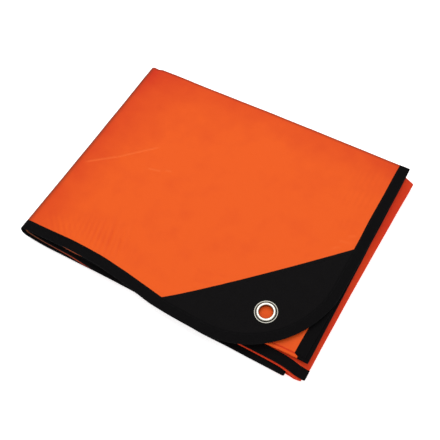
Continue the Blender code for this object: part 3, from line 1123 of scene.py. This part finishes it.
@dataclass
class BlanketSheet(FlatPiece):
    """The coated cloth itself, running whole under its tape and patch."""

    name: str = "coated_sheet"
    finish: ClothFinish = COATED_ORANGE
    half_thickness: float = 0.40
    covered: float = 0.20  # half the thickness under the tape and the patch
    covered_from: float = 0.6  # how far under their edges the sheet starts to be thinner
    margin: float = 1.0  # from the tape's outer edge to the cloth's own edge
    nearest: float = 0.2  # how close to its own edge the sheet may be cut
    fine: float = 1.3  # spacing where ripples run
    middling: float = 2.2
    coarse: float = 12.0
    underside: float = 6.0
    rippled: Pair = (165.0, 228.0)  # where along s the ripples run

    def columns(self) -> Array:
        """The places along s where the sheet is cut.

        Returns:
            The places, rising.
        """
        start, end = self.rippled
        top = np.concatenate([
            spaced(0, start, self.middling),
            spaced(start, end, self.fine),
            spaced(end, RUN_S, self.middling),
        ])
        pitches = (self.coarse, self.coarse, self.underside)
        rest = stations(RUN_S, TURN_S, pitches, LONG_TURN_STEPS)
        places = np.concatenate([top, rest[rest > RUN_S]])
        return between(places, self.margin, SHEET_S - self.margin, self.nearest)

    def rows(self) -> Array:
        """The places along t where the sheet is cut.

        Returns:
            The places, rising.
        """
        pitches = (self.middling, self.coarse, self.coarse, self.underside)
        places = stations(RUN_T, TURN_T, pitches, SHORT_TURN_STEPS)
        places = np.union1d(places, ROLL_T - np.array(BEFORE_ROLL))
        return between(places, self.margin, SHEET_T - self.margin, self.nearest)

    def kept(self, flat: Array) -> Array:
        """Whether a face belongs to the sheet: inside its edges and outside the eyelet."""
        return (edge_inset(flat) > self.margin) & (eyelet_reach(flat) > HOLE)

    def painted_shade(self, flat: Array) -> Array:
        """How much painted shade deepens the orange: over turns, at the fold's far side and below the top
        panel.

        Args:
            flat: Places on the sheet.

        Returns:
            0 to 1 at each place.
        """
        s, t = flat[:, 0], flat[:, 1]
        amount = LOWER_PANELS_SHADE * np.clip((s - RUN_S) / TURN_S, 0, 1)
        for mid_s, mid_t, wide_s, wide_t, strength in PAINTED_SHADE:
            amount = amount + strength * bell(s, t, (mid_s, mid_t), (wide_s, wide_t))
        return np.clip(amount - RIPPLE_HOLLOW_SHADE * ripples(s, t), 0, 1)

    def rim(self, flat: Array) -> Array:
        """How much painted shade darkens the folded edges round the top panel and the roll tucked in the
        left turn.

        Args:
            flat: Places on the sheet.

        Returns:
            0 to 1 at each place.
        """
        left, far = (
            np.exp(-(((flat[:, axis] - middle) / wide) ** 2))
            for axis, (middle, wide) in enumerate((RIM_SHADE_S, RIM_SHADE_T))
        )
        far = np.where(flat[:, 0] < RUN_S + TURN_S / 2, far, 0)
        tucked = bell(flat[:, 0], flat[:, 1], TUCKED_SHADE[:2], TUCKED_SHADE[2:])
        return np.maximum.reduce([left, far, tucked])

    def wear_and_highlight(self, flat: Array) -> Array:
        """How much each crease's painted highlight lightens the coating."""
        return np.max([crease.wear_and_highlight * crease.strength(flat) for crease in CREASES], axis=0)

    def half(self, flat: Array) -> Array:
        """Half the sheet's thickness: less where tape or patch lies over it.

        Args:
            flat: Places on the sheet.

        Returns:
            The half thickness at each place.
        """
        under = np.maximum(TAPE_WIDTH - edge_inset(flat), flap_distance(flat) - PATCH_BOW)
        share = np.clip(under - self.covered_from, 0, 1)
        return self.half_thickness + (self.covered - self.half_thickness) * share

    def build(self) -> bpy.types.Object:
        """Builds the sheet.

        Returns:
            The object.
        """
        bm = lattice(self.columns(), self.rows())
        trim(bm, self.kept)
        move_points(bm, lambda points: push_off_hole(pull_into_outline(points, self.margin)))
        self.cut_creases(bm)
        self.thicken(bm)
        return self.wrap(bm, self.half)


@dataclass
class EdgeTape(FlatPiece):
    """The binding folded over all four edges of the sheet, and its row of stitches."""

    name: str = "binding_tape"
    finish: ClothFinish = BLACK_BINDING
    middling: float = 2.2
    coarse: float = 6.0
    arc_step: float = 3.0  # degrees
    nearest: float = 0.3  # how close to a round corner a side may be cut
    greyed: Pair = (0.6, 0.5)  # how far in the outer edge is greyer, and how much
    seam_inset: float = 6.9
    stitch_pitch: float = 3.3
    stitch_height: float = 0.46
    # Half the thickness from the outer edge of the tape to its inner one
    profile: tuple[Pair, ...] = (
        # inset  half
        (0.00, 0.12),
        (0.12, 0.33),
        (0.40, 0.46),
        (0.90, 0.51),
        (2.60, 0.53),
        (4.40, 0.53),
        (6.00, 0.52),
        (6.50, 0.50),
        (6.90, 0.43),
        (7.30, 0.50),
        (7.80, 0.52),
        (8.12, 0.50),
        (8.30, 0.40),
    )

    def outline(self) -> tuple[Array, Array, Array]:
        """Walks once round the sheet's outline, from a place that the folds hide.

        Returns:
            The places, the direction into the sheet at each, and the length walked to it.
        """
        pitches = (self.middling, self.coarse, self.coarse, self.coarse)
        s_places = stations(RUN_S, TURN_S, pitches[:PANELS], LONG_TURN_STEPS)
        t_places = stations(RUN_T, TURN_T, pitches[:LAYERS], SHORT_TURN_STEPS)
        t_places = np.union1d(t_places, ROLL_T - np.array(BEFORE_ROLL))
        radius = CORNER_RADIUS
        s_places = between(s_places, radius, SHEET_S - radius, self.nearest)
        t_places = between(t_places, radius, SHEET_T - radius, self.nearest)
        points, inwards = [], []
        corners = (
            (radius, SHEET_T - radius, 90),
            (radius, radius, 180),
            (SHEET_S - radius, radius, 270),
            (SHEET_S - radius, SHEET_T - radius, 0),
        )
        sides = (
            [(s, SHEET_T, 0, -1) for s in s_places[::-1]],
            [(0, t, 1, 0) for t in t_places[::-1]],
            [(s, 0, 0, 1) for s in s_places],
            [(SHEET_S, t, -1, 0) for t in t_places],
        )
        for side, (mid_s, mid_t, start) in zip(sides, corners):
            points += [row[:2] for row in side]
            inwards += [row[2:] for row in side]
            for angle in np.radians(spaced(start, start + 90, self.arc_step)[1:-1]):
                points.append((mid_s + radius * math.cos(angle), mid_t + radius * math.sin(angle)))
                inwards.append((-math.cos(angle), -math.sin(angle)))
        points.append(points[0])
        inwards.append(inwards[0])
        walked = np.concatenate([[0], np.cumsum(np.hypot(*np.diff(np.array(points), axis=0).T))])
        return np.array(points), np.array(inwards, float), walked

    def half(self, flat: Array) -> Array:
        """Half the tape's thickness at each place."""
        insets, halves = np.array(self.profile).T
        return np.interp(edge_inset(flat), insets, halves)

    def wear_and_highlight(self, flat: Array) -> Array:
        """The outer edge is a little greyer."""
        width, amount = self.greyed
        return np.clip(1 - edge_inset(flat) / width, 0, 1) * amount

    def build(self) -> bpy.types.Object:
        """Builds the tape.

        Returns:
            The object.
        """
        points, inwards, walked = self.outline()
        insets = np.array([row[0] for row in self.profile])
        index = np.arange(len(points))
        bm = lattice(index, insets)
        along = bm.verts.layers.float.new("along")
        for vert in bm.verts:
            i = round(vert.co.x)
            vert[along] = walked[i]
            vert.co = (*(points[i] + inwards[i] * vert.co.y), 0.0)
        bmesh.ops.remove_doubles(bm, verts=bm.verts[:], dist=SAME_PLACE)
        self.thicken(bm)
        return self.wrap(bm, self.half)

    def stitch_places(self) -> list[tuple[Vector, float]]:
        """Finds the stitches of the tape.

        Returns:
            Where each lies on the sheet, and its direction.
        """
        points, inwards, walked = self.outline()
        places = []
        for length in np.arange(0, walked[-1], self.stitch_pitch):
            point = [np.interp(length, walked, points[:, axis]) for axis in range(2)]
            inward = [np.interp(length, walked, inwards[:, axis]) for axis in range(2)]
            place = Vector(point) + Vector(inward).normalized() * self.seam_inset
            places.append((place, math.atan2(inward[0], -inward[1])))
        return places


@dataclass
class CornerPatch(FlatPiece):
    """The black reinforcement over the free corner of the top layer."""

    name: str = "corner_patch_cloth"
    finish: ClothFinish = BLACK_WEAVE
    half_thickness: float = 0.56
    under_tape: Pair = (0.42, 0.8)  # the same under the tape, and how wide the change is
    edge: Pair = (0.16, 0.3)  # how much thinner the slanted edge is, and how far in
    inset: float = TAPE_WIDTH - 2.0  # from the sheet's edge to the patch's own, under the tape
    pitch: float = 1.8
    depth: float = 62.0
    seam_depth: float = 2.6
    seam_groove: Pair = (0.10, 0.45)  # its depth and half its width
    hem: float = 5.2
    hem_rise: float = 0.08
    hem_slopes: Pair = (0.5, 0.6)  # how wide the rise is at the hem's outer and inner edge
    greyed: Pair = (0.5, 0.5)  # how far in the slanted edge is greyer, and how much
    # How far past the slanted edge the hem is cut
    hem_cuts: tuple[float, ...] = (0.0, 0.15, 0.4, 1.0, 1.7, 2.2, 2.6, 3.0, 3.5, 4.6, 5.2)
    smallest: float = 0.01  # length of the shortest edge in the net
    stitch_pitch: float = 2.9
    stitch_height: float = 0.55
    last_stitch: float = 1.0  # from the tape to the nearest stitch

    def from_slant(self, along: Array, depth: Array) -> Array:
        """Turns places beside the slanted edge into sheet places.

        Args:
            along: How far each lies along the slanted edge.
            depth: How far it lies past that edge.

        Returns:
            The places on the sheet.
        """
        to_corner = np.array((-PATCH_LEG_T, -PATCH_LEG_S)) / math.hypot(PATCH_LEG_S, PATCH_LEG_T)
        share = (along / SLANT_LENGTH)[:, None]
        bowed = PATCH_BOW * np.sin(np.pi * share) + depth[:, None]
        return SLANT_START + SLANT_RUN * share + to_corner * bowed

    def slant_depth(self, flat: Array) -> Array:
        """How far sheet places lie past the bowed slanted edge."""
        share = (flat[:, :2] - SLANT_START) @ SLANT_RUN / SLANT_LENGTH**2
        return flap_distance(flat) - PATCH_BOW * np.sin(np.pi * np.clip(share, 0, 1))

    def half(self, flat: Array) -> Array:
        """Half the patch's thickness: thin at its edges, with a sewn hem along the slanted one.

        Args:
            flat: Places on the sheet.

        Returns:
            The half thickness at each place.
        """
        depth = self.slant_depth(flat)
        (thinner, reach), (groove, groove_width) = self.edge, self.seam_groove
        (outer, inner), (covered, change) = self.hem_slopes, self.under_tape
        body = self.half_thickness - thinner * np.exp(-np.maximum(depth, 0) / reach)
        body += self.hem_rise * np.clip((self.hem - depth) / inner, 0, 1) * np.clip(depth / outer, 0, 1)
        body -= groove * np.exp(-(((depth - self.seam_depth) / groove_width) ** 2))
        return covered + (body - covered) * np.clip((edge_inset(flat) - TAPE_WIDTH) / change, 0, 1)

    def wear_and_highlight(self, flat: Array) -> Array:
        """The hem's edge is a little greyer."""
        width, amount = self.greyed
        return amount * np.clip(1 - self.slant_depth(flat) / width, 0, 1)

    def kept(self, flat: Array) -> Array:
        """Whether a face belongs to the patch."""
        return (edge_inset(flat) > self.inset) & (eyelet_reach(flat) > HOLE)

    def build(self) -> bpy.types.Object:
        """Builds the patch.

        Returns:
            The object.
        """
        depths = np.concatenate([self.hem_cuts, spaced(self.hem, self.depth, self.pitch)[1:]])
        bm = lattice(spaced(0, SLANT_LENGTH, self.pitch), depths)
        move_points(bm, lambda points: np.column_stack([
            self.from_slant(points[:, 0], points[:, 1]), points[:, 2]
        ]))
        trim(bm, self.kept)
        move_points(bm, lambda points: push_off_hole(pull_into_outline(points, self.inset)))
        move_points(bm, lambda points: np.column_stack([
            np.maximum(points[:, :2], self.inset), points[:, 2]
        ]))
        bmesh.ops.dissolve_degenerate(bm, dist=self.smallest, edges=bm.edges[:])
        self.cut_creases(bm)
        self.thicken(bm)
        return self.wrap(bm, self.half)

    def stitch_places(self) -> list[tuple[Vector, float]]:
        """Finds the stitches of the slanted seam.

        Returns:
            Where each lies on the sheet, and its direction.
        """
        along = np.arange(0, SLANT_LENGTH, self.stitch_pitch)
        points = self.from_slant(along, np.full(len(along), self.seam_depth))
        direction = math.atan2(-PATCH_LEG_T, PATCH_LEG_S)
        inside = edge_inset(points) > TAPE_WIDTH + self.last_stitch
        return [(Vector(point), direction) for point in points[inside]]


@dataclass
class Stitches(FlatPiece):
    """A row of lockstitches that shows on both sides of the cloth."""

    finish: ClothFinish = BLACK_THREAD
    places: list[tuple[Vector, float]] = field(default_factory=list)
    height: float = 0.5  # of the thread's middle above the middle of the cloth
    size: tuple[float, float, float] = (1.25, 0.22, 0.13)  # half its length, width and height
    segments: tuple[int, int] = (6, 4)  # round the thread, and along it

    def build(self) -> bpy.types.Object:
        """Builds the stitches.

        Returns:
            The object.
        """
        lies = [
            Matrix.Translation((*place, side * self.height)) @ Matrix.Rotation(direction, 4, "Z")
            for side in (1, -1)
            for place, direction in self.places
        ]
        bm = bmesh.new()
        around, along = self.segments
        bmesh.ops.create_uvsphere(bm, u_segments=around, v_segments=along, radius=1.0)
        bmesh.ops.scale(bm, vec=self.size, verts=bm.verts[:])
        one = len(bm.verts)
        while len(bm.verts) < one * len(lies):
            bmesh.ops.duplicate(bm, geom=[*bm.verts, *bm.edges, *bm.faces])
        bmesh.ops.delete(bm, geom=bm.verts[one * len(lies) :], context="VERTS")
        for i, vert in enumerate(bm.verts):
            vert.co = lies[i // one] @ vert.co
        return self.wrap(bm)


@dataclass
class CornerEyelet:
    """The two pressed metal rings round the hole in the corner."""

    fold: Fold
    finish: MetalFinish = NICKEL
    bore: float = 5.2
    flange: float = 8.75
    washer: float = 8.5
    lip: Pair = (0.98, 0.66)  # half width and half height of the rolled lip
    top: float = 1.8
    seat: float = 0.56
    bottom: float = -1.0  # where the flange's wall ends, inside the washer
    wall: float = 0.7
    groove: Pair = (7.2, 7.9)  # inner and outer radius
    groove_height: float = 0.70
    slack: float = 0.1  # how near the groove a point counts as in it
    flange_rim_shade: float = 0.4  # how much painted shade darkens the flange's rim beside the lip
    # painted shade on the wall of the bore
    bore_shade: float = 0.8
    rim_height: float = 0.36  # how far the flange's rim stands above the groove
    bevel: Pair = (0.06, 0.16)  # width and height of the flange's outer edge
    washer_gap: float = 0.02  # from the flange's wall to the washer
    washer_lip: Pair = (0.53, 0.62)  # half width and half height
    washer_drop: float = 0.2  # how far below the seat the middle of its lip lies
    washer_rise: float = 0.1  # how far above the seat it starts
    washer_edge: float = 0.5  # half the width of its outer edge
    level_over: float = 6.0  # how far from its axis the patch's slope is read
    steps: int = 72
    arc_points: int = 9

    def arc(self, centre: Pair, radius: Pair, turn: Pair) -> list[Pair]:
        """Points on an arc of the profile.

        Args:
            centre: Its middle, as distance from the axis and height.
            radius: Its two half axes.
            turn: Its first and last angle in degrees.

        Returns:
            The points.
        """
        return [
            (centre[0] + radius[0] * math.cos(angle), centre[1] + radius[1] * math.sin(angle))
            for angle in np.radians(np.linspace(*turn, self.arc_points))
        ]

    def flange_profile(self) -> list[Pair]:
        """The upper ring: the bore, a rolled lip, a groove and a domed flange.

        Returns:
            The points of its closed outline.
        """
        lip = (self.bore + self.lip[0], self.top - self.lip[1])
        near, far = self.groove
        rim = ((far + self.flange) / 2, self.groove_height)
        width, height = self.bevel
        return [
            (self.bore, self.bottom),
            *self.arc(lip, self.lip, (180, -10)),
            (near, self.groove_height),
            (far - self.slack, self.groove_height),
            *self.arc(rim, ((self.flange - far) / 2, self.rim_height), (165, 20)),
            (self.flange, self.seat + height),
            (self.flange - width, self.seat),
            (self.bore + self.wall, self.seat),
            (self.bore + self.wall, self.bottom),
        ]

    def metal_shade(self, radius: float, height: float) -> float:
        """How much painted shade darkens the plating at a point of a ring's profile.

        Args:
            radius: Its distance from the axis.
            height: Its height above the patch.

        Returns:
            0 on the lip up to 1 in the groove.
        """
        near, far = self.groove
        if near - self.slack < radius < far and abs(height - self.groove_height) < self.slack:
            return 1.0
        if radius < self.bore + self.washer_gap / 2:
            return self.bore_shade
        return self.flange_rim_shade if radius >= far else 0.0

    def washer_profile(self) -> list[Pair]:
        """The lower ring, flatter than the upper one.

        Returns:
            The points of its closed outline.
        """
        inner = self.bore + self.washer_gap
        lip = (inner + self.washer_lip[0], -self.seat - self.washer_drop)
        edge = (self.washer - self.washer_edge, -self.seat)
        return [
            (inner, -self.seat + self.washer_rise),
            *self.arc(lip, self.washer_lip, (180, 300)),
            *self.arc(edge, (self.washer_edge, self.washer_lip[1]), (270, 350)),
            (self.washer, -self.seat),
        ]

    def ring(self, name: str, profile: list[Pair]) -> bpy.types.Object:
        """Turns a profile round the eyelet's axis.

        Args:
            name: The piece's name.
            profile: Distance from the axis and height of each point of its closed outline.

        Returns:
            The object.
        """
        bm = bmesh.new()
        metal_shade_layer = bm.verts.layers.float.new("metal_shade")
        verts = [bm.verts.new((radius, 0.0, height)) for radius, height in profile]
        edges = [bm.edges.new((vert, verts[(i + 1) % len(verts)])) for i, vert in enumerate(verts)]
        bmesh.ops.spin(
            bm,
            geom=[*verts, *edges],
            cent=(0, 0, 0),
            axis=(0, 0, 1),
            angle=2 * math.pi,
            steps=self.steps,
            use_merge=True,
        )
        bmesh.ops.remove_doubles(bm, verts=bm.verts[:], dist=SAME_PLACE)
        bmesh.ops.recalc_face_normals(bm, faces=bm.faces[:])
        for vert in bm.verts:
            vert[metal_shade_layer] = self.metal_shade(math.hypot(vert.co.x, vert.co.y), vert.co.z)
        bmesh.ops.transform(bm, matrix=self.standing(), verts=bm.verts[:])
        return add_piece(name, make_mesh(bm, name), self.finish)

    def standing(self) -> Matrix:
        """Where the eyelet stands, square to the folded patch.

        Returns:
            The matrix from the eyelet's own millimetres to the row frame.
        """
        steps = np.array(((0, 0, 0), (-1, 0, 0), (0, 1, 0))) * self.level_over
        middle, ahead, across = map(Vector, self.fold.place(np.array((*EYELET, 0)) + steps))
        up = (ahead - middle).cross(across - middle).normalized()
        turn = Vector((0, 0, 1)).rotation_difference(up).to_matrix().to_4x4()
        return Matrix.Translation(middle) @ turn @ Matrix.Scale(MM, 4)

    def build(self) -> list[bpy.types.Object]:
        """Builds both rings.

        Returns:
            The two objects, each standing for the eyelet's solid.
        """
        low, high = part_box("corner_eyelet")
        middle = (low + high) / 2
        off = self.standing().to_translation() - middle
        LOG.info("eyelet stands %.2f mm from its solid's middle", Vector(off[:2]).length / MM)
        rings = [
            self.ring("eyelet_flange", self.flange_profile()),
            self.ring("eyelet_washer", self.washer_profile()),
        ]
        for ring in rings:
            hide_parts("corner_eyelet")
        return rings


@dataclass
class Studio:
    """The plain floor, the soft light and the camera at the photograph's angle."""

    fold: Fold
    camera_place: tuple[float, float, float] = (303.36, -96.85, 433.85)  # in the packet
    camera_turn: tuple[float, float, float] = (29.433, 6.274, 31.318)
    lens: float = 50.32
    sensor: float = 36.0
    nearest: float = 0.01  # metres from the camera at which things start to show
    floor_size: float = 3.0
    floor_color: Color = (0.86, 0.86, 0.86)
    floor_roughness: float = 0.9
    floor_glow: float = 0.60
    # The soft lights: their names, places and widths in metres, and powers in watts
    lights: tuple[tuple[str, tuple[float, float, float], float, float], ...] = (
        ("soft_box", (-0.35, 0.55, 1.40), 1.3, 9.0),
        ("fill_box", (0.7, -0.6, 1.3), 1.2, 2.5),
    )
    # How bright the sky is at each height, from the horizon at 0 to straight above at 1
    sky: tuple[Pair, ...] = (
        # height brightness
        (0.00, 0.90),
        (0.12, 0.78),
        (0.34, 0.40),
        (0.60, 0.55),
        (1.00, 1.25),
    )

    def floor(self) -> None:
        """Lays the pale floor."""
        bm = bmesh.new()
        bmesh.ops.create_grid(bm, x_segments=2, y_segments=2, size=self.floor_size)
        mesh = make_mesh(bm, "studio_floor")
        paint = Graph("studio_floor_paint").dress(
            Base_Color=(*self.floor_color, 1.0),
            Roughness=self.floor_roughness,
            Specular_IOR_Level=0.0,
            Emission_Color=WHITE,
            Emission_Strength=self.floor_glow,
        )
        mesh.materials.append(paint)
        floor = add_object("studio_floor", mesh)

    def light(self, name: str, place: Sequence[float], size: float, power: float) -> None:
        """Adds one square soft light that points at the blanket.

        Args:
            name: Its name.
            place: Where it hangs, in metres.
            size: Its width in metres.
            power: Its power in watts.
        """
        data = bpy.data.lights.new(name, "AREA")
        data.size = size
        data.energy = power
        lamp = add_object(name, data)
        lamp.location = place
        lamp.rotation_euler = (-Vector(place)).to_track_quat("-Z", "Y").to_euler()

    def world(self) -> bpy.types.World:
        """The sky round the studio: pale at the horizon, dimmer above it and bright overhead.

        Returns:
            The world.
        """
        world = bpy.data.worlds.new("studio_sky")
        world.use_nodes = True
        nodes, links = world.node_tree.nodes, world.node_tree.links
        direction = nodes.new("ShaderNodeTexCoord").outputs["Generated"]
        split = nodes.new("ShaderNodeSeparateXYZ")
        links.new(direction, split.inputs[0])
        curve = nodes.new("ShaderNodeFloatCurve")
        links.new(split.outputs[2], curve.inputs["Value"])
        line = curve.mapping.curves[0]
        curve.mapping.clip_max_y = max(bright for _, bright in self.sky)
        for point, place in zip(line.points, (self.sky[0], self.sky[-1])):
            point.location = place
        for place in self.sky[1:-1]:
            line.points.new(*place)
        curve.mapping.update()
        links.new(curve.outputs[0], nodes["Background"].inputs["Strength"])
        nodes["Background"].inputs["Color"].default_value = WHITE
        return world

    def build(self) -> None:
        """Builds the floor, the sky, the lights and the camera."""
        self.floor()
        scene = bpy.context.scene
        scene.world = self.world()
        scene.view_settings.view_transform = "Standard"
        for row in self.lights:
            self.light(*row)
        data = bpy.data.cameras.new("photo_camera")
        data.sensor_width = self.sensor
        data.lens = self.lens
        data.clip_start = self.nearest
        camera = add_object("photo_camera", data)
        u, v, z = self.camera_place
        camera.location = MM * Vector((u + self.fold.shift_u, v + self.fold.shift_v, z))
        camera.rotation_euler = [math.radians(angle) for angle in self.camera_turn]
        scene.camera = camera


def main() -> None:
    """Builds the blanket round the frame."""
    logging.basicConfig(level=logging.INFO, format="%(message)s")
    fold = Fold()
    sheet = BlanketSheet(fold).build()
    tape = EdgeTape(fold)
    patch = CornerPatch(fold)
    tape_piece, patch_piece = tape.build(), patch.build()
    seams = [
        Stitches(fold, "tape_stitches", places=tape.stitch_places(), height=tape.stitch_height).build(),
        Stitches(fold, "patch_stitches", places=patch.stitch_places(), height=patch.stitch_height).build(),
    ]
    eyelet = CornerEyelet(fold).build()
    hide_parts("blanket_cloth")
    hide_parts("edge_tape")
    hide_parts("corner_patch")
    Studio(fold).build()


if __name__ == "__main__":
    main()
